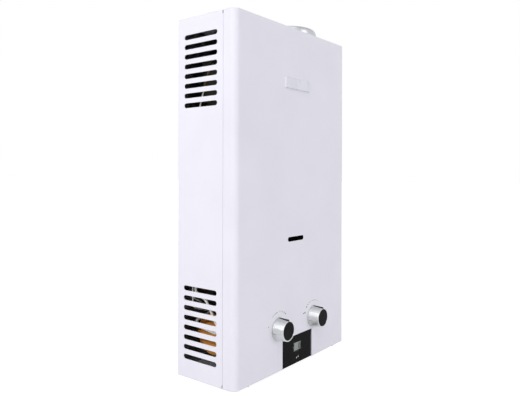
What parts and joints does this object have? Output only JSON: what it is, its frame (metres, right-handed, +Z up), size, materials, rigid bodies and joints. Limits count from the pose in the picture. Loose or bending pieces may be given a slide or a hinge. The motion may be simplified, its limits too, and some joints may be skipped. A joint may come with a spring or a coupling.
{
  "type": "portable gas water heater",
  "caption": "Wall-hung instantaneous propane water heater: vented steel case, flue collar on top, two control knobs, display, threaded water and gas connections below.",
  "frame": {"origin": "middle of the bottom edge of the back, on the wall plane", "axes": "+X to the right facing the front, +Y into the wall, +Z up"},
  "size_m": [0.335, 0.146, 0.636],
  "materials": {
    "white_enamel": "powder-coated steel sheet, satin",
    "galvanised_steel": "zinc-coated sheet",
    "flue_metal": "drawn stainless sheet",
    "zinc_screw": "bright zinc-plated steel",
    "badge_plate": "bare raised plate",
    "mica": "thin mica pane",
    "black_panel": "black moulded panel",
    "clear_lens": "clear lens",
    "circuit_board": "green circuit board",
    "satin_aluminium": "satin knob shell",
    "black_abs": "black moulded plastic",
    "brass": "forged brass",
    "copper": "tinned and heat-tinted copper",
    "burner_steel": "stainless burner sheet",
    "die_cast": "die-cast aluminium",
    "rubber": "moulded rubber",
    "fibre_washer": "red fibre washer",
    "spring_steel": "spring wire",
    "ceramic_steatite": "glazed steatite",
    "white_silicone": "silicone sleeving"
  },
  "bodies": {
    "case": {"back_plate": "galvanised_steel", "left_side_panel": "white_enamel", "right_side_panel": "white_enamel", "top_plate": "white_enamel", "bottom_plate": "white_enamel", "front_cover": "white_enamel", "case_screws": "zinc_screw", "name_badge": "badge_plate", "window_pane": "mica", "display_panel": "black_panel", "display_window": "clear_lens", "display_board": "circuit_board", "flue_collar": "flue_metal", "draft_hood": "galvanised_steel", "combustion_chamber": "copper", "exchanger_fins": "copper", "exchanger_tubes": "copper", "chamber_coil": "copper", "cold_feed_pipe": "copper", "hot_pipe": "copper", "burner_tray": "burner_steel", "burner_blades": "burner_steel", "gas_manifold": "galvanised_steel", "gas_jets": "brass", "gas_feed_pipe": "die_cast", "diaphragm_cover": "brass", "diaphragm": "rubber", "diaphragm_screws": "zinc_screw", "water_valve_body": "brass", "gas_valve_body": "die_cast", "gas_end_cap": "die_cast", "return_spring": "spring_steel", "solenoid_coil": "galvanised_steel", "switch_bracket": "galvanised_steel", "micro_switch": "black_abs", "cold_inlet_fitting": "brass", "gas_inlet_fitting": "brass", "hot_outlet_fitting": "brass", "sealing_washers": "fibre_washer", "relief_valve": "brass", "battery_box": "black_abs", "battery_door_pin": "spring_steel", "battery_contacts": "spring_steel", "ignition_box": "black_abs", "spark_electrodes": "ceramic_steatite", "ignition_leads": "white_silicone", "overheat_switch": "black_abs", "wiring_loom": "white_silicone"},
    "water_knob": {"water_knob_barrel": "satin_aluminium", "water_knob_core": "black_abs", "water_spindle": "brass"},
    "gas_knob": {"gas_knob_barrel": "satin_aluminium", "gas_knob_core": "black_abs", "gas_spindle": "brass"},
    "push_rod_set": {"push_rod": "brass", "gas_valve_disc": "rubber"},
    "flow_switch_lever": {"switch_lever": "spring_steel"},
    "gas_plunger": {"solenoid_plunger": "spring_steel"},
    "battery_lid": {"battery_door": "black_abs"},
    "drain_cap": {"relief_cap": "black_abs"}
  },
  "joints": [
    {"name": "water_knob_turn", "type": "hinge", "parent": "case", "child": "water_knob", "pos_m": [-0.054, -0.125, 0.0725], "axis": [0, 1, 0], "range_deg": [-72, 72]},
    {"name": "gas_knob_turn", "type": "hinge", "parent": "case", "child": "gas_knob", "pos_m": [0.054, -0.125, 0.0725], "axis": [0, 1, 0], "range_deg": [-72, 72]},
    {"name": "push_rod_slide", "type": "slide", "parent": "case", "child": "push_rod_set", "axis": [1, 0, 0], "range_m": [0, 0.004], "stiffness_N_per_m": 300, "springref_m": -0.004, "deforming": ["return_spring"]},
    {"name": "switch_lever_pivot", "type": "hinge", "parent": "case", "child": "flow_switch_lever", "pos_m": [-0.02, -0.06, 0.094], "axis": [0, -1, 0], "range_deg": [0, 17]},
    {"name": "plunger_lift", "type": "slide", "parent": "case", "child": "gas_plunger", "axis": [0, 0, 1], "range_m": [0, 0.003]},
    {"name": "battery_door_hinge", "type": "hinge", "parent": "case", "child": "battery_lid", "pos_m": [0.1341, -0.0146, -0.0035], "axis": [1, 0, 0], "range_deg": [0, 90]},
    {"name": "drain_cap_turn", "type": "hinge", "parent": "case", "child": "drain_cap", "pos_m": [-0.072, -0.06, -0.01], "axis": [0, 0, 1], "range_deg": [0, 180]}
  ],
  "couplings": [
    {"joint": "switch_lever_pivot", "follows": "push_rod_slide", "rad_per_m": 68.966}
  ]
}
